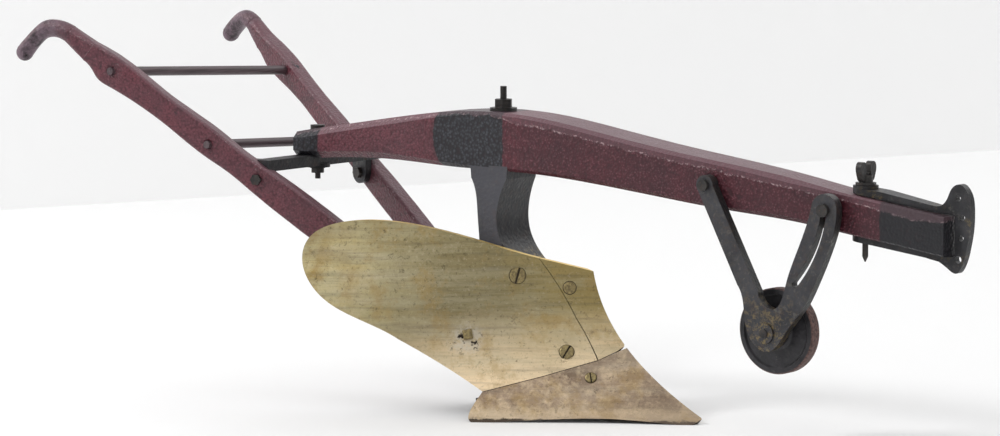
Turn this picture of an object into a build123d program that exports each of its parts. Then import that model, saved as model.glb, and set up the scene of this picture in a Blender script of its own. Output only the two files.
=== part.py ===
from build123d import *
from math import cos, radians, sin, tan
import os

# A small right-hand walking plough with a wooden beam, all sizes in millimetres.
# X runs forward along the beam from the standard's stud, Y to the left, Z up from the floor.

# Beam, lofted through eight-sided sections: x, top, bottom, half width, chamfer
beam_sections = [
    (-176, 187.5, 170.0, 17.0, 4.5),
    (-150, 192.0, 170.0, 17.5, 5.0),
    (-85, 202.5, 172.2, 17.5, 4.5),
    (-35, 209.0, 170.2, 17.5, 3.0),
    (0, 210.5, 169.8, 17.5, 2.0),
    (45, 207.8, 168.6, 17.5, 2.4),
    (90, 201.0, 165.0, 17.5, 2.5),
    (145, 192.2, 159.0, 17.0, 2.5),
    (200, 184.8, 153.4, 16.0, 2.5),
    (250, 177.4, 149.0, 14.5, 3.0),
    (292, 169.6, 143.2, 13.0, 1.2),
    (318, 165.8, 139.6, 12.7, 1.2),
    (344, 162.1, 135.9, 12.3, 1.2),
    (368, 158.6, 132.6, 12.0, 1.2),
]
stud_radius = 2.3

# Soil-working surface: level straight lines that lean back and turn as they rise
landside_y = 20.0
shin_top_x = 60.5
share_reach = 102.5
turn_height = 135.0
shin_curve = 2.7
share_angle = 31.5
wing_twist = 12.5
plate = 3.0
frog_setback = 0.6
surface_heights = [0, 10, 24, 40, 60, 82, 105, 128, 150]
surface_length = 235.0

# Share, mouldboard and shin, as seen from the side
share_heel = (19.0, 0.0)
wing_seam_heel = (18.5, 19.2)
seam_middle = (50.0, 29.5)
seam_shin = (77.6, 39.8)
seam_nose = (91.0, 47.8)
shin_top_seam = (33.5, 109.2)
shin_seam_bend = (57.6, 68.0)
seam_gap = 0.5
frog_bottom = 30.0
gunnel_back_x = 84.0
gunnel_thickness = 6.0

# Landside bar with its sole
landside_heel_x = -28.0
landside_height = 28.0
landside_thickness = 5.0
sole_width = 15.0
sole_thickness = 4.0

# Handles: each is flat in its own upright plane, splayed from the foot
handle_thickness = 13.0
handle_rise = 34.2
right_foot = (-20.0, -17.0, 52.0)
left_foot = (-20.0, 25.4, 48.4)
right_splay = 17.8
left_splay = 15.0
left_slimness = 0.86
# Station, and how far the upper and lower edges stand from the centre line
handle_edges = [
    (-4, 8.5, 8.5), (60, 9.7, 9.7), (188, 10.2, 10.2), (209, 9.3, 9.3), (231, 10.2, 10.2), (275, 9.1, 9.1),
    (318, 10.3, 11.0), (327, 10.0, 10.6), (335, 9.4, 7.8), (343, 8.7, 6.2),
]
edge_round = 2.6
grip_station = 362.0
grip_lift = 3.4
grip_radius = 6.5
grip_bend = 21.5
grip_tail_bend = 60.0
right_tail = 22.0
left_tail = 15.0

# Stations along the handles, from the foot
bracket_stations = (188.0, 186.0)
lower_rung_stations = (230.0, 224.0)
upper_rung_stations = (320.0, 309.0)
rung_radius = 3.4
tenon_radius = 2.8
bolt_radius = 2.0

# Handle bracket under the beam's rear end
bracket_x = -167.0
bracket_width = 14.0
bracket_thickness = 7.0
lug_thickness = 5.0
lug_length = 16.0

# Gauge wheel and its slotted bracket
gauge_pivot = (185.0, 170.7)
gauge_hub = (234.0, 74.2)
gauge_plate_right = -24.0
gauge_plate_left = -17.0
slot_radius = 95.2
slot_start_angle = -6.8
slot_travel = 34.0
slot_width = 4.4
gauge_bolt_radius = 2.1
wheel_radius = 29.1
wheel_right = -11.0
wheel_left = -1.0
axle_radius = 3.0
running_clearance = 0.05

# Hake at the beam's front end, swinging on one upright pin
hake_pin_x = 297.0
hake_pin_radius = 2.0
hake_half_width = 8.5
hake_plate_thickness = 6.0
# Hake's holes: x, z, radius
hake_holes = [(369.0, 171.0, 2.0), (372.3, 158.5, 2.0), (371.4, 145.0, 2.0), (369.4, 131.0, 2.5)]
beam_end_radius = 67.5


def cylinder(start, end, radius):
    """A round bar between two points."""
    a, b = Vector(*start), Vector(*end)
    return Solid.make_cylinder(radius, (b - a).length, Plane(origin=a, z_dir=b - a))


def hexagon(start, end, across_flats):
    """A hexagonal prism between two points."""
    a, b = Vector(*start), Vector(*end)
    face = Plane(origin=a, z_dir=b - a) * RegularPolygon(across_flats / 2, 6, major_radius=False)
    return extrude(face, amount=(b - a).length, dir=(b - a).normalized())


def block(x0, x1, y0, y1, z0, z1):
    """A box from its lowest and highest corners."""
    return Pos((x0 + x1) / 2, (y0 + y1) / 2, (z0 + z1) / 2) * Box(x1 - x0, y1 - y0, z1 - z0)


def side_solid(edges, y0, y1):
    """A side-view outline made as thick as the given span of Y."""
    face = Plane.XZ.offset(-y1) * make_face(edges)
    return extrude(face, amount=y1 - y0, dir=(0, -1, 0))


def closed(points):
    """A closed outline of straight lines."""
    return Polyline(*points, close=True).edges()


# Beam

def beam_section(x, top, bottom, half_width, chamfer):
    w, c = half_width, chamfer
    points = [
        (x, -w, bottom + c), (x, -w, top - c), (x, -w + c, top), (x, w - c, top),
        (x, w, top - c), (x, w, bottom + c), (x, w - c, bottom), (x, -w + c, bottom),
    ]
    return make_face(Polyline(*points, close=True))


def make_beam():
    body = loft([beam_section(*station) for station in beam_sections])
    reach = Pos(hake_pin_x, 0, 150) * Cylinder(beam_end_radius, 120)
    front = block(hake_pin_x, 380, -40, 40, 90, 210)
    body = body - (front - reach)
    body -= cylinder((0, 0, 150), (0, 0, 230), stud_radius)
    body -= cylinder((bracket_x, 0, 150), (bracket_x, 0, 210), bolt_radius)
    for x, z in (gauge_pivot, slot_bolt_centre()):
        body -= cylinder((x, -30, z), (x, 30, z), gauge_bolt_radius)
    body -= cylinder((hake_pin_x, 0, 120), (hake_pin_x, 0, 190), hake_pin_radius)
    return body


def beam_profile(x):
    """Top, bottom and half width of the beam at x, straight between the sections."""
    for near, far in zip(beam_sections, beam_sections[1:]):
        if near[0] <= x <= far[0]:
            t = (x - near[0]) / (far[0] - near[0])
            return [a + t * (b - a) for a, b in zip(near[1:4], far[1:4])]


def slot_bolt_centre():
    angle = radians(slot_start_angle)
    return gauge_pivot[0] + slot_radius * cos(angle), gauge_pivot[1] + slot_radius * sin(angle)


# Soil-working plates

def surface_line(height):
    """Where the surface's level line meets the landside plane, and its angle to the beam."""
    rest = max(1 - height / turn_height, 0)
    angle = share_angle + wing_twist * (height / turn_height) ** 1.3
    return shin_top_x + share_reach * rest ** shin_curve, radians(angle)


def surface_layer(front, back):
    """The solid between two depths behind the soil-working surface."""
    sections = []
    for height in surface_heights:
        x, angle = surface_line(height)
        along = Vector(-cos(angle), -sin(angle), 0)
        behind = Vector(-sin(angle), cos(angle), 0)
        start = Vector(x, landside_y, height) - along * 30
        corners = [
            start + behind * front, start + along * surface_length + behind * front,
            start + along * surface_length + behind * back, start + behind * back,
        ]
        sections.append(make_face(Polyline(*corners, close=True)))
    return loft(sections)


def surface_point(x, height, depth):
    """A point on the surface at x and height, and the direction out of its front."""
    line_x, angle = surface_line(height)
    y = landside_y - (line_x - x) * tan(angle)
    out = Vector(sin(angle), -cos(angle), 0)
    return Vector(x, y, height) - out * depth, out


def right_of_landside(solid):
    return solid & block(-250, 250, -200, landside_y, -5, 200)


def make_mouldboard(plate_layer):
    edges = [
        Spline(shin_top_seam, (-2.4, 123.9), (-30, 134.2), (-60, 137.3), (-80, 129),
               (-91.2, 104), (-84, 82.5), (-62, 66), (-40, 53.3)),
        Line((-40, 53.3), wing_seam_heel),
        Line(wing_seam_heel, seam_middle),
        Line(seam_middle, seam_shin),
        Line(seam_shin, shin_seam_bend),
        Line(shin_seam_bend, shin_top_seam),
    ]
    return plate_layer & side_solid(edges, -160, 40)


def make_shin(plate_layer):
    g = seam_gap
    outline = closed([
        (shin_top_seam[0] + g, shin_top_seam[1] - 0.3), (shin_seam_bend[0] + g, shin_seam_bend[1]),
        (seam_shin[0] + g, seam_shin[1] + g / 2), (87.0, 45.8), (89.4, 48.4), (90.0, 51.5), (100, 62),
        (70, 100), (63.5, 99.5),
    ])
    return right_of_landside(plate_layer & side_solid(outline, -60, 40))


def make_share(plate_layer, in_front):
    g = seam_gap
    heel_top = (wing_seam_heel[0], wing_seam_heel[1] - g)
    upper = Polyline(heel_top, (seam_middle[0], seam_middle[1] - g), (seam_shin[0], seam_shin[1] - g),
                     (seam_nose[0], seam_nose[1] - g / 2), (100, 52), (146, 15), (153, 7.5), (154.6, 3.4),
                     (151.5, 0), (143, 0))
    outline = upper.edges() + [
        Spline((143, 0), (128, 1.3), (105, 3.0), (80, 3.0), (50, 1.3), (32, 0)),
        Line((32, 0), (21.5, 0)),
        Spline((21.5, 0), (18.4, 2.4), (17.0, 10.5), heel_top),
    ]
    wing = right_of_landside(plate_layer & side_solid(outline, -90, 40))
    gunnel_y = landside_y - gunnel_thickness
    gunnel = side_solid(closed([
        (gunnel_back_x, 0), (151.5, 0), (154.6, 3.4), (150, 10), (seam_nose[0], 44), (gunnel_back_x, 40),
    ]), gunnel_y, landside_y)
    lip = side_solid(closed([
        (gunnel_back_x + 1, 36), (seam_nose[0] - 0.6, 38), (seam_nose[0] - 1.6, 54), (gunnel_back_x + 1, 52),
    ]), gunnel_y + 0.8, landside_y - 0.8)
    return wing + (gunnel - surface_layer(-120, plate / 2)) + (lip - in_front)


def make_landside(in_front):
    bar = side_solid(closed([
        (landside_heel_x, 0), (gunnel_back_x - 0.3, 0), (gunnel_back_x - 0.3, landside_height),
        (landside_heel_x + 14, landside_height), (landside_heel_x, 10),
    ]), landside_y - landside_thickness, landside_y)
    sole = block(landside_heel_x, 70, landside_y - sole_width, landside_y, 0, sole_thickness)
    return (bar + sole) - in_front


# Standard with its frog

def make_stem(in_front):
    """The upright casting, from its side view crossed with its front view."""
    side = side_solid([
        Line((-16, 173), (16, 173)), Line((16, 173), (15.2, 164)),
        Spline((15.2, 164), (10.6, 153), (7.8, 139), (9, 127), (16, 114), (32, 100)),
        Line((32, 100), (60, 60)), Line((60, 60), (60, frog_bottom)), Line((60, frog_bottom), (-6, frog_bottom)),
        Spline((-6, frog_bottom), (-6.4, 110), (-8.6, 140), (-10.6, 154), (-15.2, 164)),
        Line((-15.2, 164), (-16, 173)),
    ], -30, 30)
    front = extrude(Plane.YZ.offset(-40) * make_face([
        Line((-17.5, 175), (17.5, 175)), Line((17.5, 175), (17.5, 165)),
        Spline((17.5, 165), (18.6, 152), (19, 125), (14.5, 80)), Line((14.5, 80), (14.5, 20)),
        Line((14.5, 20), (-17, 20)), Line((-17, 20), (-17, 80)),
        Spline((-17, 80), (-19, 125), (-18.6, 152), (-17.5, 165)), Line((-17.5, 165), (-17.5, 175)),
    ]), amount=120)
    hollow = block(4, 70, -10, 8, 0, 86)
    return (side & front) - hollow - in_front


def make_standard(beam, in_front, frog_layer):
    """The stem with the walls that the mouldboard, landside and handles bolt to."""
    wall_outline = closed([(-12, 51), (-12, 92), (10, 112), (28, 106), (72, 47), (60, 14), (33, 14), (31, 21), (20, 29)])
    mouldboard_wall = frog_layer & side_solid(wall_outline, -90, landside_y - 6)
    landside_wall = side_solid(closed([
        (-26, sole_thickness), (83, sole_thickness), (83, 40), (60, 58), (2, 58), (-4, 30), (-26, 30),
    ]), 10, landside_y - landside_thickness) - in_front
    lug = extrude(Pos(0, 0, 34) * make_face(Polyline(
        (-4, -5.1), (-4, 7.0), handle_inner_point(left_foot, left_splay, 1, -42),
        handle_inner_point(right_foot, right_splay, -1, -42), close=True)), amount=36)
    body = make_stem(in_front) + mouldboard_wall + landside_wall + lug
    body -= beam
    return body - cylinder((0, 0, 120), (0, 0, 230), stud_radius)


def handle_inner_point(foot, splay, side, x):
    """Where a handle's inner face is at x, in plan."""
    a = radians(splay)
    y = foot[1] + side * ((foot[0] - x) * tan(a) - handle_thickness / 2 / cos(a))
    return x, y


# Handles

def handle_plane(foot, splay, side):
    a = radians(splay)
    return Plane(origin=foot, x_dir=(-cos(a), side * sin(a), 0), z_dir=(side * sin(a), cos(a), 0))


def handle_point(foot, splay, side, station, across=0.0):
    """A point on a handle's centre line, or to its outer side by across."""
    rise = radians(handle_rise)
    plane = handle_plane(foot, splay, side)
    return plane.from_local_coords(Vector(station * cos(rise), station * sin(rise), side * across))


def slat_edge_point(station, across):
    """A point in a handle's own plane, along its straight length and square to it."""
    rise = radians(handle_rise)
    return station * cos(rise) - across * sin(rise), station * sin(rise) + across * cos(rise)


def make_handle_blank(foot, splay, side, slimness, tail_sweep):
    rise = radians(handle_rise)
    first, last = handle_edges[0], handle_edges[-1]
    upper = [slat_edge_point(station, above * slimness) for station, above, below in handle_edges]
    lower = [slat_edge_point(station, -below * slimness) for station, above, below in handle_edges]
    outline = make_face([
        Spline(*upper), Line(upper[-1], lower[-1]), Spline(*lower),
        ThreePointArc(lower[0], slat_edge_point(first[0] - 6, 0), upper[0]),
    ])
    slat = extrude(outline, amount=handle_thickness / 2, both=True)
    long_edges = [edge for edge in slat.edges() if edge.length > 100]
    slat = fillet(long_edges, edge_round)
    neck = []
    neck_end = 2 * grip_radius - 0.3
    for station, lift, width, thickness, corner in (
            (last[0], (last[1] - last[2]) / 2 * slimness, (last[1] + last[2]) * slimness - 0.2,
             handle_thickness - 0.2, edge_round),
            (grip_station, grip_lift, neck_end, neck_end, neck_end / 2 - 0.1)):
        plane = Plane(origin=slat_edge_point(station, lift),
                      x_dir=(-sin(rise), cos(rise), 0), z_dir=(cos(rise), sin(rise), 0))
        neck.append(plane * RectangleRounded(width, thickness, corner))
    bend = JernArc(start=slat_edge_point(grip_station, grip_lift), tangent=(cos(rise), sin(rise)),
                   radius=grip_bend, arc_size=-(handle_rise + 30))
    tail = JernArc(start=bend @ 1, tangent=bend % 1, radius=grip_tail_bend, arc_size=-tail_sweep)
    circle = Plane(origin=bend @ 0, z_dir=bend % 0) * Circle(grip_radius)
    grip = sweep(circle, path=Wire([bend.edge(), tail.edge()]))
    tip = Pos(*(tail @ 1)) * Sphere(grip_radius - 0.05)
    return handle_plane(foot, splay, side) * (slat + loft(neck, ruled=True) + grip + tip)


def between_handles(stations, extra=0.0):
    """A cross bar's two end points, at the handles' centre planes or outside them."""
    right = handle_point(right_foot, right_splay, -1, stations[0])
    left = handle_point(left_foot, left_splay, 1, stations[1])
    along = (left - right).normalized()
    return right - along * extra, left + along * extra


def make_rung(stations, right_blank, left_blank):
    right, left = between_handles(stations)
    rod = cylinder(right, left, rung_radius) - right_blank - left_blank
    outer_right, outer_left = between_handles(stations, handle_thickness / 2 + 2.2)
    return rod + cylinder(outer_right, outer_left, tenon_radius)


# Handle bracket and its bolts

def make_handle_bracket(beam, right_blank, left_blank):
    top = 171.0
    bottom = 170.0 - bracket_thickness
    right = handle_point(right_foot, right_splay, -1, bracket_stations[0])
    left = handle_point(left_foot, left_splay, 1, bracket_stations[1])
    bar = block(bracket_x - bracket_width / 2, bracket_x + bracket_width / 2, right.Y, left.Y, bottom, top)
    boss = Pos(bracket_x, 0, bottom) * Cylinder(9, 3)
    lugs = []
    for foot, splay, side, station in ((right_foot, right_splay, -1, bracket_stations[0]),
                                       (left_foot, left_splay, 1, bracket_stations[1])):
        rise = radians(handle_rise)
        bolt_x, bolt_y = station * cos(rise), station * sin(rise)
        lug_top = top - foot[2]
        inner = -side * (handle_thickness / 2 + lug_thickness / 2)
        shape = Pos(bolt_x, (lug_top + bolt_y) / 2, inner) * Box(lug_length, lug_top - bolt_y, lug_thickness)
        shape += Pos(bolt_x, bolt_y, inner) * Cylinder(lug_length / 2, lug_thickness)
        lugs.append(handle_plane(foot, splay, side) * shape)
    body = bar + boss + lugs[0] + lugs[1]
    body = body - right_blank - left_blank - beam
    body -= cylinder((bracket_x, 0, 150), (bracket_x, 0, 210), bolt_radius)
    return body


def make_bracket_bolt(beam):
    top = beam_profile(bracket_x)[0]
    shank = cylinder((bracket_x, 0, 153), (bracket_x, 0, top + 0.5), bolt_radius)
    head = Pos(bracket_x, 0, top + 1.2) * Cylinder(5.2, 3.4)
    nut = hexagon((bracket_x, 0, 157.3), (bracket_x, 0, 160.7), 8.5)
    washer = cylinder((bracket_x, 0, 160.7), (bracket_x, 0, 161.5), 5.5)
    return shank + (head - beam) + nut + washer


def make_side_bolt(foot, splay, side, station, inner_reach):
    """A bolt square to a handle, its head outside and its nut inside."""
    half = handle_thickness / 2
    outer = handle_point(foot, splay, side, station, half)
    head_end = handle_point(foot, splay, side, station, half + 2.6)
    inner = handle_point(foot, splay, side, station, -half - inner_reach)
    nut_end = handle_point(foot, splay, side, station, -half - inner_reach - 3)
    return cylinder(head_end, nut_end, bolt_radius) + hexagon(outer, head_end, 7.0) + hexagon(
        inner, nut_end, 7.5)


# Standard's stud

def make_stud():
    top = beam_sections[4][1]
    rod = cylinder((0, 0, 130), (0, 0, 227.5), stud_radius)
    washer = cylinder((0, 0, top), (0, 0, top + 2), 9.5)
    nut = hexagon((0, 0, top + 2), (0, 0, top + 8), 11.3)
    return rod + washer + nut


# Gauge wheel

def polar(radius, angle):
    return gauge_pivot[0] + radius * cos(radians(angle)), gauge_pivot[1] + radius * sin(radians(angle))


def sector(inner, outer, start, end):
    """A ring sector about the gauge pivot, rounded at both ends."""
    middle = (start + end) / 2
    edges = [
        ThreePointArc(polar(outer, start), polar(outer, middle), polar(outer, end)),
        ThreePointArc(polar(outer, end), end_bulge(inner, outer, end, -1), polar(inner, end)),
        ThreePointArc(polar(inner, end), polar(inner, middle), polar(inner, start)),
        ThreePointArc(polar(inner, start), end_bulge(inner, outer, start, 1), polar(outer, start)),
    ]
    return edges


def end_bulge(inner, outer, angle, direction):
    x, z = polar((inner + outer) / 2, angle)
    half = (outer - inner) / 2
    square = radians(angle + 90)
    return x + direction * half * cos(square), z + direction * half * sin(square)


def make_gauge_bracket():
    right, left = gauge_plate_right, gauge_plate_left
    outline = make_face([
        Line((180.2, 166.2), (211.8, 105.3)),
        Spline((211.8, 105.3), (216.8, 91.5), (218.2, 80), (222.2, 70), (228.6, 63.6), (236.4, 61.9),
               (243.5, 66.5), (250, 75.5), (264.2, 93.7), (271, 106), (278.5, 122.1), (285, 138.3),
               (288.4, 150), (289.2, 160.5)),
        ThreePointArc((289.2, 160.5), (280.5, 170.2), (270.0, 162.5)),
        Spline((270.0, 162.5), (265.9, 148.3), (258.2, 129.3), (250.2, 108), (246.5, 96.5), (240.5, 90.6),
               (234.2, 92.3), (228.3, 100.9)),
        Line((228.3, 100.9), (191.6, 170.7)),
        ThreePointArc((191.6, 170.7), (183.0, 176.99), (180.2, 166.2)),
    ])
    slot = make_face(sector(slot_radius - slot_width / 2, slot_radius + slot_width / 2,
                            slot_start_angle, slot_start_angle - slot_travel))
    face = Plane.XZ.offset(-left) * (outline - slot)
    body = extrude(face, amount=left - right, dir=(0, -1, 0))
    x, z = gauge_hub
    body += cylinder((x, right - 1.4, z), (x, wheel_right - 0.5, z), 7.0)
    body -= cylinder((x, -60, z), (x, 20, z), axle_radius)
    px, pz = gauge_pivot
    body -= cylinder((px, -60, pz), (px, 20, pz), gauge_bolt_radius + running_clearance)
    return body


def make_gauge_wheel():
    x, z = gauge_hub
    half = (wheel_left - wheel_right) / 2
    profile = make_face(Polyline(
        (axle_radius + running_clearance, -half), (11, -half), (13, -half + 1.2), (24, -half + 1.2),
        (25.2, -half), (wheel_radius - 1, -half), (wheel_radius, -half + 1), (wheel_radius, half - 1),
        (wheel_radius - 1, half), (25.2, half), (24, half - 1.2), (13, half - 1.2), (11, half),
        (axle_radius + running_clearance, half), close=True))
    wheel = revolve(profile, axis=Axis.Y)
    return Pos(x, (wheel_left + wheel_right) / 2, z) * wheel


def make_gauge_axle():
    x, z = gauge_hub
    rod = cylinder((x, gauge_plate_right - 2.4, z), (x, wheel_left + 0.3, z), axle_radius)
    cap = cylinder((x, wheel_left + 0.3, z), (x, wheel_left + 2.3, z), 5.5)
    return rod + cap


def make_foot_bolt(foot, splay, side):
    """A bolt through a handle's foot into the standard's lug."""
    half = handle_thickness / 2
    outer = handle_point(foot, splay, side, 0, half)
    head_end = handle_point(foot, splay, side, 0, half + 2.6)
    inner = handle_point(foot, splay, side, 0, -half - 5)
    return cylinder(head_end, inner, bolt_radius) + hexagon(outer, head_end, 7.0)


def make_gauge_bolt(beam, centre, head_radius, spacer):
    """A bolt through the beam with its head outside the bracket."""
    x, z = centre
    half_width = beam_profile(x)[2]
    rod = cylinder((x, gauge_plate_right - 3, z), (x, half_width + 6, z), gauge_bolt_radius)
    head = cylinder((x, gauge_plate_right - 3, z), (x, gauge_plate_right - 0.1, z), head_radius)
    nut = hexagon((x, half_width + 1, z), (x, half_width + 4.4, z), 8.0)
    washer = cylinder((x, half_width - 0.2, z), (x, half_width + 1, z), 5.5)
    seats = washer
    if spacer:
        seats = washer + cylinder((x, gauge_plate_left + 0.1, z), (x, 0, z), 4.6)
    return rod + head + nut + (seats - beam)


# Hake

def make_hake():
    upper = [(288.0, 174.6), (312.0, 172.4), (352.5, 165.4)]
    nose = [(352.5, 165.4), (358.4, 167.0), (361.8, 172.8), (364.6, 177.8), (369.9, 180.2),
            (375.6, 175.6), (378.4, 163.0), (378.0, 150.8), (376.0, 139.0), (372.2, 126.6),
            (368.3, 121.8), (362.5, 124.0), (355.5, 128.9)]
    edges = [
        Polyline(*upper).edges()[0], Polyline(*upper).edges()[1],
        Spline(*nose),
        Line((355.5, 128.9), (346.5, 131.0)), Line((346.5, 131.0), (307.0, 136.6)),
        Line((307.0, 136.6), (288.0, 139.0)), Line((288.0, 139.0), (288.0, 143.4)),
        Line((288.0, 143.4), (366.6, 132.2)), Line((366.6, 132.2), (366.6, 159.4)),
        Line((366.6, 159.4), (288.0, 170.8)), Line((288.0, 170.8), (288.0, 174.6)),
    ]
    side = side_solid(edges, -hake_half_width, hake_half_width)
    half = hake_plate_thickness / 2
    plan = make_face([
        ThreePointArc((hake_pin_x, -hake_half_width), (hake_pin_x - hake_half_width, 0),
                      (hake_pin_x, hake_half_width)),
        Line((hake_pin_x, hake_half_width), (350, 5.5)), Line((350, 5.5), (361, half)),
        Line((361, half), (385, half)), Line((385, half), (385, -half)), Line((385, -half), (361, -half)),
        Line((361, -half), (350, -5.5)), Line((350, -5.5), (hake_pin_x, -hake_half_width)),
    ])
    body = side & extrude(Pos(0, 0, 100) * plan, amount=100)
    body += cylinder((hake_pin_x, 0, 170.9), (hake_pin_x, 0, 175.4), hake_half_width)
    body -= cylinder((hake_pin_x, 0, 100), (hake_pin_x, 0, 200), hake_pin_radius + running_clearance)
    for x, z, radius in hake_holes:
        body -= cylinder((x, -10, z), (x, 10, z), radius)
    return body


def make_hake_pin():
    shank = cylinder((hake_pin_x, 0, 128), (hake_pin_x, 0, 184), hake_pin_radius)
    point = Pos(hake_pin_x, 0, 128 - 1.8) * Rot(180, 0, 0) * Cone(hake_pin_radius, 0.4, 3.6)
    return shank + point


def make_hake_washer():
    ring = cylinder((hake_pin_x, 0, 175.55), (hake_pin_x, 0, 177.2), 6.9)
    return ring - cylinder((hake_pin_x, 0, 170), (hake_pin_x, 0, 180), hake_pin_radius)


def make_wing_nut():
    body = Pos(hake_pin_x, 0, 179.7) * Cone(4.8, 4.2, 5.0)
    for side in (-1, 1):
        wing = make_face(Spline((side * 2.2, 178.5), (side * 2.8, 185), (side * 3.6, 190.2), (side * 7.4, 190.8),
                                (side * 9.6, 187.5), (side * 8.2, 181.5), (side * 5.0, 178.0), periodic=True))
        body += Pos(hake_pin_x, 0, 0) * extrude(Plane.YZ * wing, amount=2.1, both=True)
    return body - cylinder((hake_pin_x, 0, 170), (hake_pin_x, 0, 200), hake_pin_radius)


# Mouldboard brace and its bolt

def make_brace(plate_layer):
    wing_point, out = surface_point(-46, 66, plate)
    heel = Vector(-20, 8.8, 14)
    rod = cylinder(heel, wing_point - out * 1.6, 2.2)
    wing_pad = cylinder(wing_point, wing_point - out * 1.8, 5.5)
    heel_pad = cylinder((heel.X, 10, heel.Z), (heel.X, 7.6, heel.Z), 5.5)
    return rod + wing_pad + heel_pad - plate_layer


def build():
    beam = make_beam()
    plate_layer = surface_layer(0, plate)
    in_front = surface_layer(-120, plate)
    frog_layer = surface_layer(plate, plate + 5)
    right_blank = make_handle_blank(right_foot, right_splay, -1, 1.0, right_tail)
    left_blank = make_handle_blank(left_foot, left_splay, 1, left_slimness, left_tail)
    parts = {
        "beam": beam,
        "mouldboard": make_mouldboard(plate_layer),
        "shin": make_shin(plate_layer),
        "share": make_share(plate_layer, in_front),
        "landside": make_landside(in_front),
        "standard": make_standard(beam, surface_layer(-120, plate + frog_setback), frog_layer),
        "standard_stud": make_stud(),
        "upper_rung": make_rung(upper_rung_stations, right_blank, left_blank),
        "lower_rung": make_rung(lower_rung_stations, right_blank, left_blank),
        "handle_bracket": make_handle_bracket(beam, right_blank, left_blank),
        "bracket_bolt": make_bracket_bolt(beam),
        "right_bracket_bolt": make_side_bolt(right_foot, right_splay, -1, bracket_stations[0], lug_thickness),
        "left_bracket_bolt": make_side_bolt(left_foot, left_splay, 1, bracket_stations[1], lug_thickness),
        "right_foot_bolt": make_foot_bolt(right_foot, right_splay, -1),
        "left_foot_bolt": make_foot_bolt(left_foot, left_splay, 1),
        "mouldboard_brace": make_brace(plate_layer),
        "gauge_bracket": make_gauge_bracket(),
        "gauge_axle": make_gauge_axle(),
        "gauge_wheel": make_gauge_wheel(),
        "gauge_pivot_bolt": make_gauge_bolt(beam, gauge_pivot, 3.8, False),
        "gauge_slot_bolt": make_gauge_bolt(beam, slot_bolt_centre(), 4.3, True),
        "hake": make_hake(),
        "hake_pin": make_hake_pin(),
        "hake_washer": make_hake_washer(),
        "wing_nut": make_wing_nut(),
    }
    parts["handle_right"] = right_blank
    parts["handle_left"] = left_blank
    for name in ("right_bracket_bolt", "left_bracket_bolt"):
        parts["handle_bracket"] -= parts[name]
    for name in ("right_foot_bolt", "left_foot_bolt"):
        parts["standard"] -= parts[name]
    for name in ("upper_rung", "lower_rung", "right_bracket_bolt", "right_foot_bolt"):
        parts["handle_right"] -= parts[name]
    for name in ("upper_rung", "lower_rung", "left_bracket_bolt", "left_foot_bolt"):
        parts["handle_left"] -= parts[name]
    for name in ("handle_right", "handle_left"):
        parts[name] -= parts["standard"]
    return parts


if __name__ == "__main__":
    model = build()
    boxes = [solid.bounding_box(optimal=True) for solid in model.values()]
    low = [min(getattr(box.min, axis) for box in boxes) for axis in "XYZ"]
    high = [max(getattr(box.max, axis) for box in boxes) for axis in "XYZ"]
    shift = Pos(-(low[0] + high[0]) / 2, -(low[1] + high[1]) / 2, -low[2])
    os.makedirs("parts", exist_ok=True)
    for name, solid in model.items():
        export_step(shift * solid, f"parts/{name}.step")
    print("size", [round(b - a, 3) for a, b in zip(low, high)])
    print("shift", [round(value, 4) for value in shift.position])
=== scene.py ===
import math

import bpy
from mathutils import Matrix, Vector, noise


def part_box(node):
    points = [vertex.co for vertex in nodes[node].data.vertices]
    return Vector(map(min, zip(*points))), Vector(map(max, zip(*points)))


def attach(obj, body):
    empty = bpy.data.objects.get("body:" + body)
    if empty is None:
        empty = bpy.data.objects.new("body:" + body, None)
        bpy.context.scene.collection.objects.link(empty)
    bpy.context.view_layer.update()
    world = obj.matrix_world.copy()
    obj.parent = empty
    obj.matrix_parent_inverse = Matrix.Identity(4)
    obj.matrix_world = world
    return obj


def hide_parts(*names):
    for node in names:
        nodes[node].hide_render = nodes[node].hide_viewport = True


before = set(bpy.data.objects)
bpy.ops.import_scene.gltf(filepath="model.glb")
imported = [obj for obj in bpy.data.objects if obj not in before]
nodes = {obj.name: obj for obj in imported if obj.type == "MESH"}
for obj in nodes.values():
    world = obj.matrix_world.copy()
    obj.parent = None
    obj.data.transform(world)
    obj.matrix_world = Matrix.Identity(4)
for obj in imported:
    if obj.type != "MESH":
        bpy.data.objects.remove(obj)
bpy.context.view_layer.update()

# The plough's own origin: under the standard's stud, on the floor. Places below are in mm from it.
studLow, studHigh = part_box("standard_stud")
originX = (studLow.x + studHigh.x) / 2
originY = (studLow.y + studHigh.y) / 2


def place(x, y, z):
    return Vector((originX + x / 1000, originY + y / 1000, z / 1000))


def deselect():
    if bpy.context.object and bpy.context.object.mode != "OBJECT":
        bpy.ops.object.mode_set(mode="OBJECT")
    bpy.ops.object.select_all(action="DESELECT")


# camera
view = {
    "azimuth": 36.4, "elevation": 6.1,
    "focalPixels": 4300, "distance": 3.010,
    "aim": (0, 0, 210), "aimPixel": (503.5, 111),
    "width": 1000, "height": 436, "sensor": 36,
}


def viewAxes():
    az, el = math.radians(view["azimuth"]), math.radians(view["elevation"])
    right = Vector((math.cos(az), math.sin(az), 0))
    up = Vector((-math.sin(az) * math.sin(el), math.cos(az) * math.sin(el), math.cos(el)))
    ahead = Vector((-math.sin(az) * math.cos(el), math.cos(az) * math.cos(el), -math.sin(el)))
    return right, up, ahead


def pixelRay(px, py):
    right, up, ahead = viewAxes()
    acrossShare = (px - view["width"] / 2) / view["focalPixels"]
    upShare = -(py - view["height"] / 2) / view["focalPixels"]
    return ahead + right * acrossShare + up * upShare


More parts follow.
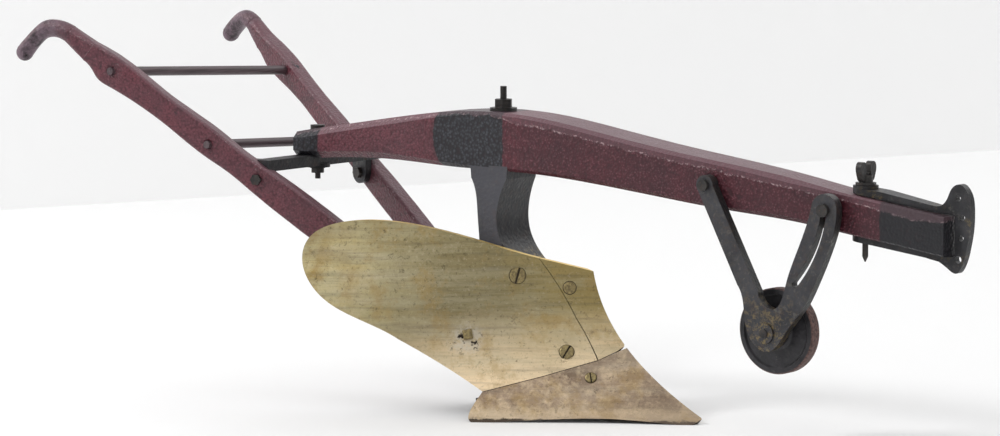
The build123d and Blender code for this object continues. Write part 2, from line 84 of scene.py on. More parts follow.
def addCamera():
    right, up, ahead = viewAxes()
    data = bpy.data.cameras.new("camera")
    data.sensor_width = view["sensor"]
    data.lens = view["focalPixels"] / view["width"] * view["sensor"]
    data.clip_end = 60
    camera = bpy.data.objects.new("camera", data)
    bpy.context.scene.collection.objects.link(camera)
    turned = Matrix((right, up, -ahead)).transposed().to_4x4()
    spot = place(*view["aim"]) - pixelRay(*view["aimPixel"]) * view["distance"]
    camera.matrix_world = Matrix.Translation(spot) @ turned
    bpy.context.scene.camera = camera
    return spot


cameraSpot = addCamera()
print("camera in place")


# materials
class Signal:
    def __init__(self, finish, socket):
        self.finish = finish
        self.socket = socket

    def math(self, operation, *others):
        values = {0: self}
        for slot, other in enumerate(others, start=1):
            values[slot] = other
        return self.finish.node("ShaderNodeMath", {"operation": operation}, values)

    def __add__(self, other):
        return self.math("ADD", other)

    __radd__ = __add__

    def __mul__(self, other):
        return self.math("MULTIPLY", other)

    __rmul__ = __mul__

    def __sub__(self, other):
        return self.math("SUBTRACT", other)

    def __rsub__(self, other):
        return self.finish.node("ShaderNodeMath", {"operation": "SUBTRACT"}, {0: other, 1: self})

    def __truediv__(self, other):
        return self.math("DIVIDE", other)

    def __rtruediv__(self, other):
        return self.finish.node("ShaderNodeMath", {"operation": "DIVIDE"}, {0: other, 1: self})

    def __pow__(self, other):
        return self.math("POWER", other)

    def __abs__(self):
        return self.math("ABSOLUTE")

    def sine(self):
        return self.math("SINE")

    def most(self, other):
        return self.math("MAXIMUM", other)

    def held(self):
        return self.math("MAXIMUM", 0).math("MINIMUM", 1)

    # 0 below a level and 1 above it, with a soft step as wide as asked
    def above(self, level, soft):
        return ((self - level) / soft + 0.5).held()

    def below(self, level, soft):
        return 1 - self.above(level, soft)

    def between(self, low, high, soft):
        return self.above(low, soft) * self.below(high, soft)


class Finish:
    def __init__(self, name):
        self.material = bpy.data.materials.new(name)
        self.material.use_nodes = True
        self.tree = self.material.node_tree
        self.tree.nodes.clear()
        self.output = self.tree.nodes.new("ShaderNodeOutputMaterial")
        self.shader = self.tree.nodes.new("ShaderNodeBsdfPrincipled")
        self.tree.links.new(self.shader.outputs[0], self.output.inputs[0])
        self.point = self.node("ShaderNodeTexCoord", output="Object")
        self.normal = self.node("ShaderNodeTexCoord", output="Normal")

    def node(self, kind, settings=None, values=None, output=0):
        made = self.tree.nodes.new(kind)
        for key, value in (settings or {}).items():
            setattr(made, key, value)
        for key, value in (values or {}).items():
            self.feed(made.inputs[key], value)
        return Signal(self, made.outputs[output])

    def feed(self, socket, value):
        if isinstance(value, Signal):
            self.tree.links.new(value.socket, socket)
        else:
            socket.default_value = value

    def set(self, name, value):
        self.feed(self.shader.inputs[name], value)

    def axes(self, vector=None):
        vector = vector or self.point
        return [self.node("ShaderNodeSeparateXYZ", None, {0: vector}, output=i) for i in range(3)]

    def millimetres(self):
        x, y, z = self.axes()
        return (x - originX) * 1000, (y - originY) * 1000, z * 1000

    def stretched(self, scale):
        return self.node("ShaderNodeMapping", None, {"Vector": self.point, "Scale": scale})

    def noise(self, scale, detail, roughness, vector=None):
        return self.node("ShaderNodeTexNoise", None, {
            "Vector": vector or self.point, "Scale": scale, "Detail": detail, "Roughness": roughness})

    def cells(self, scale, feature="F1"):
        return self.node("ShaderNodeTexVoronoi", {"feature": feature}, {"Vector": self.point, "Scale": scale})

    def blend(self, factor, first, second):
        def colour(value):
            return value if isinstance(value, Signal) else (*value, 1)
        return self.node("ShaderNodeMix", {"data_type": "RGBA"},
                         {0: factor, 6: colour(first), 7: colour(second)}, output=2)

    def bump(self, height, distance, strength):
        return self.node("ShaderNodeBump", None, {
            "Height": height, "Distance": distance, "Strength": strength})


paint = {
    "red": (0.115, 0.014, 0.024), "redDark": (0.040, 0.009, 0.014), "redHighlight": (0.21, 0.075, 0.095),
    "creviceShade": (0.018, 0.007, 0.010), "dustAndSheen": (0.19, 0.105, 0.125), "chip": (0.42, 0.30, 0.31),
    "black": (0.010, 0.010, 0.013), "blackHighlight": (0.055, 0.056, 0.070), "gripWorn": (0.14, 0.10, 0.125),
    "rearCapEnd": -153, "bandStart": -45, "bandEnd": 12, "frontStart": 315.5,
    "bumps": 0.0006, "gloss": 0.38, "bumpScale": 610, "bandBumpScale": 470,
}


# old thick paint: wrinkled all over, worn along the edges, black where blackMask says. The wrinkles' tops and
# the upward faces carry painted highlights, and the crevices carry painted shade. The paint is lighter
# towards the rear and darker towards the front, as painted light and shade
def wrinkledPaint(name, blackMask, edgeMask, gripMask=None):
    finish = Finish(name)
    x, y, z = finish.millimetres()
    black = blackMask(finish, x, y, z)
    nx, ny, nz = finish.axes(finish.normal)
    clouds = finish.noise(40, 6, 0.68)
    fine = finish.noise(640, 3, 0.6)
    drift = finish.noise(300, 2, 0.5) * 1.6
    bumps = finish.cells(paint["bumpScale"]) + drift * 0.35
    coarse = finish.cells(paint["bandBumpScale"]) + drift * 0.25
    bumps = bumps + (coarse - bumps) * black
    # the tops and the crevices of the wrinkles, used for painted highlights and painted shade
    litTops = bumps.below(0.62, 0.4)
    shadedCrevices = bumps.above(0.98, 0.28)
    red = finish.blend(clouds.above(0.5, 0.36), paint["redDark"], paint["red"])
    # the rear is painted lighter and greyer and the front darker: painted light near the lamp and painted
    # shade away from it
    red = finish.blend(x.below(-45, 60) * 0.2, red, paint["dustAndSheen"])
    red = finish.blend(x.above(30, 50) * 0.6, red, paint["redDark"])
    # the tops of the wrinkles are painted lighter, pink on the red and grey on the black: painted highlights
    red = finish.blend(litTops * fine.above(0.52, 0.2) * 0.6, red, paint["redHighlight"])
    blackGlints = litTops * fine.above(0.45, 0.3) * x.below(300, 30) * 0.8
    dark = finish.blend(blackGlints, paint["black"], paint["blackHighlight"])
    colour = finish.blend(black, red, dark)
    # the crevices between the wrinkles are painted dark: painted shade
    colour = finish.blend(shadedCrevices * (clouds.above(0.42, 0.3) * 0.4 + 0.15), colour, paint["creviceShade"])
    # upward faces of the red paint are painted lighter and greyer: painted sheen
    colour = finish.blend(nz.above(0.6, 0.25) * (1 - black) * 0.5, colour, paint["dustAndSheen"])
    if gripMask:
        rubbed = finish.noise(120, 5, 0.7).above(0.46, 0.2)
        grip = finish.blend(rubbed, paint["black"], paint["gripWorn"])
        colour = finish.blend(gripMask(finish, x, y, z) * 0.85, colour, grip)
    edge, chips = edgeMask(finish, x, y, z)
    colour = finish.blend(edge * 0.55, colour, paint["dustAndSheen"])
    colour = finish.blend(chips * (1 - black * 0.6), colour, paint["chip"])
    finish.set("Base Color", colour)
    finish.set("Roughness", (fine * 0.25 + clouds * 0.2 + 0.16).held())
    height = (1 - bumps) * 0.8 + fine * 0.2 + finish.noise(140, 3, 0.6) * 0.6
    finish.set("Normal", finish.bump(height, paint["bumps"], 0.85))
    finish.shader.inputs["Specular IOR Level"].default_value = paint["gloss"]
    return finish.material


def beamBlack(finish, x, y, z):
    ragged = finish.noise(160, 3, 0.6) * 3 - 1.5
    along = x + ragged
    bulge = ((z - 192) / 18) ** 2 * 5 - 4
    cap = along.below(paint["rearCapEnd"], 1.2)
    band = (along - bulge).above(paint["bandStart"], 1.2) * along.below(paint["bandEnd"], 1.2)
    front = along.above(paint["frontStart"], 1.2)
    return (cap + band + front).held()


def noBlack(finish, x, y, z):
    return finish.noise(90, 4, 0.6).above(0.72, 0.06)


# the beam's upper edge, seen from the side, as heights at places along it
beamTop = ((-176, 187.5), (-150, 192), (-85, 202.5), (-35, 209), (0, 210.5), (45, 207.8), (90, 201),
           (145, 192.2), (250, 177.4), (344, 162.1))


# the beam's upper edges are rubbed off in a strip, with bright chips along its lower side
def beamEdges(finish, x, y, z):
    below = z * -1
    for (x1, z1), (x2, z2) in zip(beamTop, beamTop[1:]):
        along = ((x - x1) / (x2 - x1)).held()
        below = below + along * (z2 - z1)
    below = below + beamTop[0][1]
    ragged = finish.noise(90, 5, 0.7) * 7 - 3.5
    wide = x.above(12, 20) * 4.5 + 1.6
    depth = below + ragged
    strip = depth.below(wide, 1.5)
    chips = (1 - (abs(depth - wide) / 0.9).held()) * finish.noise(420, 4, 0.7).above(0.55, 0.12)
    return strip * 0.5, chips


def gripWear(gripX):
    def mask(finish, x, y, z):
        ragged = finish.noise(70, 4, 0.6) * 34 - 17
        return (x + ragged).below(gripX, 22)
    return mask


def handleEdges(finish, x, y, z):
    nx, ny, nz = finish.axes(finish.normal)
    corner = nz.between(0.3, 0.66, 0.2)
    return corner * 0.6, corner * finish.noise(300, 5, 0.75).above(0.6, 0.1) * 0.6


gripLength = 36
beamPaint = wrinkledPaint("beam_paint", beamBlack, beamEdges)
rightGripX = (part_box("handle_right")[0].x - originX) * 1000
leftGripX = (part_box("handle_left")[0].x - originX) * 1000
rightGripWear, leftGripWear = gripWear(rightGripX + gripLength), gripWear(leftGripX + gripLength)
rightHandlePaint = wrinkledPaint("right_handle_paint", noBlack, handleEdges, rightGripWear)
leftHandlePaint = wrinkledPaint("left_handle_paint", noBlack, handleEdges, leftGripWear)


squareBolt = {"on": "mouldboard", "x": -0.9, "z": 56.5, "side": 6.6, "height": 3.2, "turn": 12}
brass = {
    "litWingEnd": (0.63, 0.54, 0.30), "middle": (0.275, 0.225, 0.115), "front": (0.39, 0.295, 0.115),
    "low": (0.86, 0.68, 0.45), "share": (0.40, 0.30, 0.215), "shareDark": (0.21, 0.15, 0.105),
    "pale": (0.72, 0.63, 0.48), "green": (0.27, 0.255, 0.13),
    "stain": (0.34, 0.205, 0.035), "dark": (0.055, 0.042, 0.026), "edge": (0.80, 0.60, 0.24),
    "bare": (0.62, 0.57, 0.48), "streak": (14, 14, 260),
}


def wornBrass(name, onShare):
    finish = Finish(name)
    x, y, z = finish.millimetres()
    streaks = finish.noise(1.0, 6, 0.7, finish.stretched(brass["streak"]))
    wide = finish.noise(1.0, 5, 0.65, finish.stretched((8, 8, 60)))
    clouds = finish.noise(24, 6, 0.68)
    drift = (clouds - 0.5) * 60
    fine = finish.noise(420, 5, 0.7)
    if onShare:
        colour = finish.blend(clouds.above(0.5, 0.3), brass["shareDark"], brass["share"])
        colour = finish.blend(finish.noise(90, 6, 0.75).above(0.54, 0.2) * 0.55, colour, brass["low"])
        colour = finish.blend((z + drift * 0.1).below(9, 5) * 0.45, colour, brass["low"])
    else:
        # the plate is painted lighter towards the wing end and darker through the middle: painted light and
        # shade of its curve over the brass tone; it is also lighter towards the bottom
        colour = finish.blend((x + drift).below(-48, 50), brass["middle"], brass["litWingEnd"])
        colour = finish.blend((x + drift).above(30, 40) * 0.8, colour, brass["front"])
        low = (z + drift * 0.6).below(56, 40) * (x + drift).above(-40, 70)
        colour = finish.blend(low, colour, brass["low"])
        colour = finish.blend(wide.above(0.5, 0.2) * 0.4, colour, brass["green"])
        yellow = (x + drift * 0.5).below(-72, 40) * finish.noise(34, 6, 0.75).above(0.5, 0.14)
        colour = finish.blend(yellow * 0.7, colour, brass["stain"])
    colour = finish.blend(wide.above(0.56, 0.2) * 0.3, colour, brass["pale"])
    colour = finish.blend(streaks.above(0.58, 0.16) * 0.3, colour, brass["dark"])
    stains = finish.noise(40, 6, 0.72).above(0.57, 0.12)
    colour = finish.blend(stains * 0.4, colour, brass["stain"])
    pits = finish.noise(170, 6, 0.8)
    colour = finish.blend(pits.above(0.62, 0.06) * 0.4, colour, brass["dark"])
    colour = finish.blend(fine.above(0.62, 0.1) * 0.4, colour, brass["dark"])
    colour = finish.blend(fine.below(0.38, 0.1) * 0.2, colour, brass["pale"])
    if onShare:
        # the share is painted near-black along its bottom, below about 4.6 mm
        darkBottomBand = (z + finish.noise(160, 5, 0.75) * 5).below(4.6, 0.8)
        colour = finish.blend(darkBottomBand, colour, (0.012, 0.010, 0.010))
    else:
        away = ((x - squareBolt["x"]) ** 2 + (z - squareBolt["z"] + 3) ** 2) ** 0.5
        patch = (away + finish.noise(150, 5, 0.75) * 16).below(17, 7)
        bare = patch * finish.noise(260, 5, 0.75).above(0.46, 0.14) * 0.6
        colour = finish.blend(bare, colour, brass["bare"])
        chips = patch * (z - squareBolt["z"]).below(1, 3) * finish.noise(240, 4, 0.7).above(0.57, 0.03)
        colour = finish.blend(chips, colour, (0.03, 0.022, 0.018))
    nx, ny, nz = finish.axes(finish.normal)
    # upward faces are painted bright (gold on the mouldboard and shin, share colour on the share): painted
    # highlight; downward faces are painted dark: painted shade
    colour = finish.blend(nz.above(0.75, 0.2), colour, brass["share"] if onShare else brass["edge"])
    colour = finish.blend(nz.below(-0.4, 0.2), colour, brass["dark"])
    finish.set("Base Color", colour)
    finish.set("Metallic", 0.9 - streaks.above(0.6, 0.15) * 0.3 - stains * 0.3)
    finish.set("Roughness", (streaks * 0.2 + clouds * 0.25 + 0.22).held())
    height = streaks * 0.6 + fine * 0.6 + clouds * 0.8 - pits.above(0.62, 0.06) * 0.5
    finish.set("Normal", finish.bump(height, 0.0006, 0.55))
    return finish.material


iron = {"black": (0.011, 0.011, 0.013), "grey": (0.040, 0.040, 0.044), "rust": (0.085, 0.038, 0.022),
        "brassy": (0.30, 0.22, 0.095), "litSideGrey": (0.062, 0.062, 0.074), "bare": (0.12, 0.115, 0.105),
        "gloss": 0.35}


def blackIron(name, wear, rust, flank, brassyMask=None):
    finish = Finish(name)
    x, y, z = finish.millimetres()
    clouds = finish.noise(42, 6, 0.65)
    fine = finish.noise(520, 4, 0.65)
    colour = finish.blend(clouds.above(0.52, 0.3), iron["black"], iron["grey"])
    nx, ny, nz = finish.axes(finish.normal)
    # faces turned to the near side are painted lighter grey (painted light) and faces turned forward are
    # painted darker (painted shade)
    colour = finish.blend(ny.below(-0.85, 0.2) * flank, colour, iron["litSideGrey"])
    colour = finish.blend(nx.above(0.4, 0.3) * 0.75, colour, iron["black"])
    rubbed = finish.noise(210, 6, 0.75).above(0.6, 0.07)
    colour = finish.blend(rubbed * wear, colour, iron["bare"])
    rusty = finish.noise(150, 5, 0.7).above(0.6, 0.14)
    colour = finish.blend(rusty * rust, colour, iron["rust"])
    metal = rubbed * wear * 0.6
    if brassyMask:
        brassy = brassyMask(finish, x, y, z) * finish.noise(330, 6, 0.8).above(0.54, 0.08)
        colour = finish.blend(brassy * 0.6, colour, iron["brassy"])
        metal = metal.most(brassy * 0.5)
    finish.set("Base Color", colour)
    finish.set("Metallic", metal)
    finish.set("Roughness", (fine * 0.3 + 0.26 + rusty * rust * 0.25).held())
    height = (1 - finish.cells(420, "SMOOTH_F1")) * 0.6 + fine * 0.5 + clouds
    finish.set("Normal", finish.bump(height, 0.0008, 0.6))
    finish.shader.inputs["Specular IOR Level"].default_value = iron["gloss"]
    return finish.material


def nearHub(finish, x, y, z):
    away = ((x - hubX) ** 2 + (z - hubZ) ** 2) ** 0.5
    return away.below(20, 26) * 0.8 + 0.08


def standardFoot(finish, x, y, z):
    return x.above(12, 8) * z.below(112, 10)


def someWear(finish, x, y, z):
    return finish.noise(50, 3, 0.6).above(0.62, 0.1) * 0.5


def wheelIron():
    finish = Finish("gauge_wheel_iron")
    x, y, z = finish.millimetres()
    radius = ((x - hubX) ** 2 + (z - hubZ) ** 2) ** 0.5
    tread = radius.above(28.3, 0.5)
    fine = finish.noise(500, 4, 0.65)
    clouds = finish.noise(60, 5, 0.65)
    faces = finish.blend(clouds.above(0.52, 0.3), iron["black"], (0.034, 0.032, 0.036))
    faces = finish.blend(fine.above(0.66, 0.06) * 0.5, faces, iron["bare"])
    rusted = finish.blend(fine.above(0.5, 0.25), (0.040, 0.022, 0.021), (0.16, 0.09, 0.078))
    finish.set("Base Color", finish.blend(tread, faces, rusted))
    finish.set("Roughness", (tread * 0.25 + fine * 0.25 + 0.28).held())
    height = (1 - finish.cells(380, "SMOOTH_F1")) + fine * 0.5
    finish.set("Normal", finish.bump(height, 0.0006, 0.5))
    finish.shader.inputs["Specular IOR Level"].default_value = iron["gloss"]
    return finish.material


def darkSteel(name, threadPitch):
    finish = Finish(name)
    x, y, z = finish.millimetres()
    fine = finish.noise(500, 5, 0.65)
    clouds = finish.noise(140, 5, 0.65)
    colour = finish.blend(clouds.above(0.5, 0.3), (0.012, 0.012, 0.013), (0.055, 0.050, 0.047))
    colour = finish.blend(fine.above(0.6, 0.1) * 0.4, colour, (0.085, 0.050, 0.035))
    finish.set("Base Color", colour)
    finish.set("Metallic", clouds.above(0.5, 0.3) * 0.5)
    finish.set("Roughness", (fine * 0.3 + 0.28).held())
    if threadPitch:
        thread = (z * (2 * math.pi / threadPitch)).sine() * 0.5 + 0.5
        finish.set("Normal", finish.bump(thread, 0.0006, 0.8))
    else:
        finish.set("Normal", finish.bump(fine, 0.0004, 0.5))
    finish.shader.inputs["Specular IOR Level"].default_value = iron["gloss"]
    return finish.material


def screwBrass():
    finish = Finish("screw_brass")
    fine = finish.noise(600, 5, 0.7)
    colour = finish.blend(fine.above(0.5, 0.3), (0.13, 0.095, 0.045), (0.40, 0.32, 0.15))
    finish.set("Base Color", colour)
    finish.set("Metallic", fine.above(0.4, 0.3) * 0.85)
    finish.set("Roughness", (fine * 0.3 + 0.25).held())
    finish.set("Normal", finish.bump(fine, 0.0003, 0.5))
    return finish.material


def rimShadeAndDirt():
    # a dark ring: painted shade in the gap round a head, with dirt
    finish = Finish("rim_shade_and_dirt")
    fine = finish.noise(700, 4, 0.7)
    finish.set("Base Color", finish.blend(fine, (0.018, 0.012, 0.008), (0.075, 0.055, 0.03)))
    finish.shader.inputs["Roughness"].default_value = 0.8
    return finish.material


def darkWood():
    finish = Finish("rung_wood")
    grain = finish.noise(1.0, 5, 0.6, finish.stretched((700, 20, 700)))
    colour = finish.blend(grain.above(0.5, 0.4), (0.028, 0.017, 0.019), (0.105, 0.068, 0.078))
    finish.set("Base Color", colour)
    finish.set("Roughness", (grain * 0.3 + 0.3).held())
    finish.set("Normal", finish.bump(grain, 0.0004, 0.5))
    return finish.material


hubLow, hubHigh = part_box("gauge_wheel")
hubX = ((hubLow.x + hubHigh.x) / 2 - originX) * 1000
hubZ = (hubLow.z + hubHigh.z) / 2 * 1000
castIron = blackIron("cast_iron", 0.35, 0.25, 0.1)
standardIron = blackIron("standard_iron", 0.3, 0.15, 0.8, standardFoot)
bracketIron = blackIron("gauge_bracket_iron", 0.6, 0.2, 0.25, nearHub)
hakeIron = blackIron("hake_iron", 0.35, 0.1, 0.0, someWear)
plateBrass = wornBrass("mouldboard_brass", False)
shareBrass = wornBrass("share_brass", True)
boltSteel = darkSteel("bolt_steel", 0)
headBrass = screwBrass()
gapShadeAndDirt = rimShadeAndDirt()
threadSteel = darkSteel("threaded_steel", 0.9)
finishes = {
    beamPaint: ["beam"], rightHandlePaint: ["handle_right"], leftHandlePaint: ["handle_left"],
    plateBrass: ["mouldboard", "shin"], shareBrass: ["share"],
    castIron: ["landside", "mouldboard_brace", "handle_bracket"], standardIron: ["standard"],
    bracketIron: ["gauge_bracket"], hakeIron: ["hake"],
    wheelIron(): ["gauge_wheel"],
    threadSteel: ["standard_stud"],
    boltSteel: ["bracket_bolt", "right_bracket_bolt", "left_bracket_bolt",
                "right_foot_bolt", "left_foot_bolt", "gauge_axle", "gauge_pivot_bolt",
                "gauge_slot_bolt", "hake_pin", "hake_washer", "wing_nut"],
    darkWood(): ["upper_rung", "lower_rung"],
}
for material, names in finishes.items():
    for name in names:
        for index in range(len(nodes[name].data.materials)):
            nodes[name].data.materials[index] = material
print("materials on", sum(len(names) for names in finishes.values()), "solids")


wood = {"cuts": 2, "lump": 0.00012, "lumpScale": 90, "sharpAngle": 34, "fall": 0.78}
# places behind the upper rung, in mm: the rung, the top of the bend and the tip. The bend is drawn back
# to make it tighter, while the tip and the highest point stay, so that the handle keeps its size.
grips = {
    "handle_right": {"stations": (-6, 38, 66), "back": (0, 5.0, 0), "belly": 1.6, "splay": 17.8},
    "handle_left": {"stations": (-6, 42, 68), "back": (0, 4.6, 0), "belly": 0.6, "splay": 15.0},
}


def alongStations(stations, values, station):
    for index in range(len(stations) - 1):
        if station < stations[index + 1] or index == len(stations) - 2:
            share = (station - stations[index]) / (stations[index + 1] - stations[index])
            share = min(max(share, 0), 1)
            eased = share * share * (3 - 2 * share)
            return values[index] + (values[index + 1] - values[index]) * eased


def gripShape(node):
    facts = grips[node]
    rungLow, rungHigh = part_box("upper_rung")
    outward = -1 if node == "handle_right" else 1
    splay = math.tan(math.radians(facts["splay"])) * outward
    rungX = rungLow.x if node == "handle_right" else rungHigh.x
    rungZ = (rungLow.z + rungHigh.z) / 2

    def reshape(spot):
        station = (rungX - spot.x) * 1000
        back = alongStations(facts["stations"], facts["back"], station) / 1000
        under = (rungZ + (rungX - spot.x) * wood["fall"] - spot.z) * 1000
        belly = math.exp(-((station - 8) / 16) ** 2) * min(max(under / 8, 0), 1) * facts["belly"] / 1000
        back += belly
        return spot + Vector((-back, back * splay, -belly))
    return reshape


def paintedCopy(node, finish):
    deselect()
    piece = bpy.data.objects.new(node + "_painted", nodes[node].data.copy())
    bpy.context.scene.collection.objects.link(piece)
    bpy.context.view_layer.objects.active = piece
    piece.select_set(True)
    bpy.ops.object.mode_set(mode="EDIT")
    bpy.ops.mesh.select_all(action="SELECT")
    bpy.ops.mesh.remove_doubles(threshold=0.00001)
    bpy.ops.mesh.subdivide(number_cuts=wood["cuts"])
    bpy.ops.object.mode_set(mode="OBJECT")
    reshape = gripShape(node)
    ways = [vertex.normal.copy() for vertex in piece.data.vertices]
    for vertex, way in zip(piece.data.vertices, ways):
        spot = reshape(vertex.co)
        lump = (noise.noise(spot * wood["lumpScale"]) - 1) * wood["lump"]
        vertex.co = spot + way * lump
    bpy.ops.object.shade_smooth()
    piece.data.set_sharp_from_angle(angle=math.radians(wood["sharpAngle"]))
    piece.data.materials.clear()
    piece.data.materials.append(finish)
    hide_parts(node)
    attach(piece, "frame")
    print(piece.name, len(piece.data.polygons), "faces")


for node, finish in (("handle_right", rightHandlePaint), ("handle_left", leftHandlePaint)):
    paintedCopy(node, finish)
print("painted wood in place")


# screws on the plates
def onPlate(name, x, z):
    # the plate's front at a place seen from the right, and the way out of it
    start = place(x, -300, z)
    hit, spot, normal, face = nodes[name].ray_cast(start, Vector((0, 1, 0)))
    if not hit:
        raise RuntimeError("no plate at " + name)
    return spot, normal.normalized()


def intoPlace(piece, spot, normal, turn):
    rotation = normal.to_track_quat("Z", "Y").to_matrix().to_4x4() @ Matrix.Rotation(turn, 4, "Z")
    piece.data.transform(Matrix.Translation(spot) @ rotation)
    piece.matrix_world = Matrix.Identity(4)


def pickFaces(piece, test):
    bpy.ops.object.mode_set(mode="OBJECT")
    for face in piece.data.polygons:
        face.select = test(face)
    bpy.ops.object.mode_set(mode="EDIT")


screws = {
    "mouldboard_screw": {"on": "mouldboard", "x": 22.6, "z": 97.1, "radius": 5.6, "turn": 75, "slot": True},
    "shin_bolt": {"on": "shin", "x": 51.4, "z": 88.3, "radius": 4.4, "turn": 0, "slot": False},
    "share_seam_screw": {"on": "mouldboard", "x": 58.3, "z": 45.1, "radius": 5.0, "turn": 60, "slot": True},
    "share_screw": {"on": "share", "x": 78, "z": 28.5, "radius": 3.8, "turn": 100, "slot": True},
}

rim = {"width": 0.0005, "height": 0.00012}


# the dark ring round a head that is let into a plate: painted shade of the gap, with dirt
def addRim(name, radius, spot, normal):
    deselect()
    bpy.ops.mesh.primitive_cylinder_add(vertices=40, radius=radius, depth=0.0006, location=(0, 0, 0))
    disc = bpy.context.object
    disc.name = name
    bpy.ops.object.mode_set(mode="EDIT")
    bpy.ops.mesh.select_mode(type="FACE")
    pickFaces(disc, lambda face: face.normal.z > 0.9)
    bpy.ops.mesh.inset(thickness=0.0003)
    bpy.ops.object.mode_set(mode="OBJECT")
    intoPlace(disc, spot + normal * (rim["height"] - 0.0003), normal, 0)
    disc.data.materials.append(gapShadeAndDirt)
    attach(disc, "frame")


def addScrew(name, facts):
    deselect()
    radius = facts["radius"] / 1000
    bpy.ops.mesh.primitive_cylinder_add(vertices=40, radius=radius, depth=0.0012, location=(0, 0, 0.0003))
    screw = bpy.context.object
    screw.name = name
    bpy.ops.object.transform_apply(location=True, rotation=True, scale=True)
    bpy.ops.object.mode_set(mode="EDIT")
    bpy.ops.mesh.select_mode(type="FACE")
    pickFaces(screw, lambda face: face.normal.z > 0.9)
    bpy.ops.mesh.inset(thickness=radius * 0.16, depth=0.0003)
    if facts["slot"]:
        half = radius * 0.13
        bpy.ops.mesh.select_all(action="SELECT")
        for side in (-half, half):
            bpy.ops.mesh.select_all(action="SELECT")
            bpy.ops.mesh.bisect(plane_co=(0, side, 0), plane_no=(0, 1, 0))
        pickFaces(screw, lambda face: face.normal.z > 0.5 and abs(face.center.y) < half)
        bpy.ops.mesh.extrude_region_move(TRANSFORM_OT_translate={"value": (0, 0, -0.0011)})
    bpy.ops.object.mode_set(mode="OBJECT")
    bpy.ops.object.modifier_add(type="BEVEL")
    bevel = screw.modifiers[-1]
    bevel.width = 0.00022
    bevel.segments = 2
    bevel.limit_method = "ANGLE"
    bpy.ops.object.modifier_apply(modifier=bevel.name)
    spot, normal = onPlate(facts["on"], facts["x"], facts["z"])
    intoPlace(screw, spot, normal, math.radians(facts["turn"]))
    screw.data.materials.append(headBrass)
    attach(screw, "frame")
    addRim(name + "_rim", facts["radius"] / 1000 + rim["width"], spot, normal)


for name, facts in screws.items():
    addScrew(name, facts)


def addSquareBolt(facts):
    deselect()
    bpy.ops.mesh.primitive_cube_add(size=1, location=(0, 0, facts["height"] / 2000 - 0.0006))
    head = bpy.context.object
    head.name = "mouldboard_bolt_head"
    head.scale = (facts["side"] / 1000, facts["side"] / 1000, facts["height"] / 1000)
    bpy.ops.object.transform_apply(location=True, rotation=True, scale=True)
    bpy.ops.object.mode_set(mode="EDIT")
    bpy.ops.mesh.select_mode(type="FACE")
    pickFaces(head, lambda face: face.normal.z > 0.9)
    bpy.ops.mesh.inset(thickness=0.0012, depth=0.0005)
    bpy.ops.object.mode_set(mode="OBJECT")
    bpy.ops.object.modifier_add(type="BEVEL")
    bevel = head.modifiers[-1]
    bevel.width = 0.0005
    bevel.segments = 3
    bpy.ops.object.modifier_apply(modifier=bevel.name)
    spot, normal = onPlate(facts["on"], facts["x"], facts["z"])
    intoPlace(head, spot, normal, math.radians(facts["turn"]))
    head.data.materials.append(headBrass)
    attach(head, "frame")


addSquareBolt(squareBolt)
print("screws on the plates")


# studio
studio = {
    "floorSize": 16, "floorColour": (0.87, 0.87, 0.87), "wallColour": (0.90, 0.90, 0.90),
    "floorGlow": 0.0, "wallGlow": 0.08,
    "wallLeftPixel": (0, 210), "wallRightPixel": (1000, 150), "wallHeight": 9,
    "skyLow": 0.30, "skyHigh": 0.95,
    "key": {"place": (-1.3, -1.5, 1.7), "size": 0.7, "watts": 26},
    "wash": {"place": (0.6, 3.2, 3.0), "size": 3.0, "watts": 40},
}


def plainMaterial(name, colour, roughness, glow):
    finish = Finish(name)
    finish.shader.inputs["Emission Color"].default_value = (1, 1, 1, 1)
    finish.shader.inputs["Emission Strength"].default_value = glow
    finish.shader.inputs["Base Color"].default_value = (*colour, 1)
    finish.shader.inputs["Roughness"].default_value = roughness
    return finish.material


def onFloor(pixel):
    ray = pixelRay(*pixel)
    return cameraSpot - ray * (cameraSpot.z / ray.z)


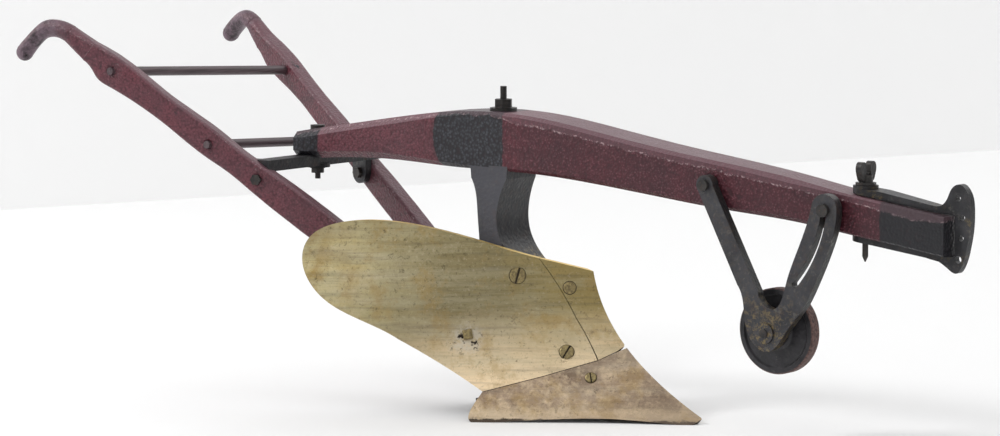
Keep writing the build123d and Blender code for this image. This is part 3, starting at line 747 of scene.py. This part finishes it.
def addStage():
    deselect()
    bpy.ops.mesh.primitive_plane_add(size=studio["floorSize"], location=(0, 0, 0))
    floor = bpy.context.object
    floor.name = "floor"
    floor.data.materials.append(plainMaterial("floor_white", studio["floorColour"], 0.9, studio["floorGlow"]))
    left, right = onFloor(studio["wallLeftPixel"]), onFloor(studio["wallRightPixel"])
    along = (right - left).normalized()
    centre = (left + right) / 2
    deselect()
    bpy.ops.mesh.primitive_plane_add(size=1, location=(0, 0, 0))
    wall = bpy.context.object
    wall.name = "wall"
    across = Matrix((along, Vector((0, 0, 1)), along.cross(Vector((0, 0, 1))))).transposed().to_4x4()
    grow = Matrix.Diagonal((studio["floorSize"] * 1.5, studio["wallHeight"], 1, 1))
    wall.data.transform(Matrix.Translation(centre + Vector((0, 0, studio["wallHeight"] / 2))) @ across @ grow)
    wall.data.materials.append(plainMaterial("wall_grey", studio["wallColour"], 0.95, studio["wallGlow"]))


def addLight(name, facts):
    data = bpy.data.lights.new(name, "AREA")
    data.shape = "DISK"
    data.size = facts["size"]
    data.energy = facts["watts"]
    lamp = bpy.data.objects.new(name, data)
    bpy.context.scene.collection.objects.link(lamp)
    lamp.location = facts["place"]
    lamp.rotation_euler = (Vector((0, 0, 0.1)) - lamp.location).to_track_quat("-Z", "Y").to_euler()


addStage()
addLight("key", studio["key"])
addLight("wash", studio["wash"])


# a white sky that is brighter overhead
def addSky():
    world = bpy.data.worlds.new("studio")
    world.use_nodes = True
    tree = world.node_tree
    direction = tree.nodes.new("ShaderNodeTexCoord")
    parts = tree.nodes.new("ShaderNodeSeparateXYZ")
    ramp = tree.nodes.new("ShaderNodeMapRange")
    tree.links.new(direction.outputs["Generated"], parts.inputs[0])
    tree.links.new(parts.outputs[2], ramp.inputs["Value"])
    ramp.inputs["From Min"].default_value = 0
    ramp.inputs["From Max"].default_value = 0.7
    ramp.inputs["To Min"].default_value = studio["skyLow"]
    ramp.inputs["To Max"].default_value = studio["skyHigh"]
    tree.nodes["Background"].inputs["Color"].default_value = (1, 1, 1, 1)
    tree.links.new(ramp.outputs[0], tree.nodes["Background"].inputs["Strength"])
    bpy.context.scene.world = world


addSky()
bpy.context.scene.view_settings.view_transform = "Standard"
print("stage and lights in place")
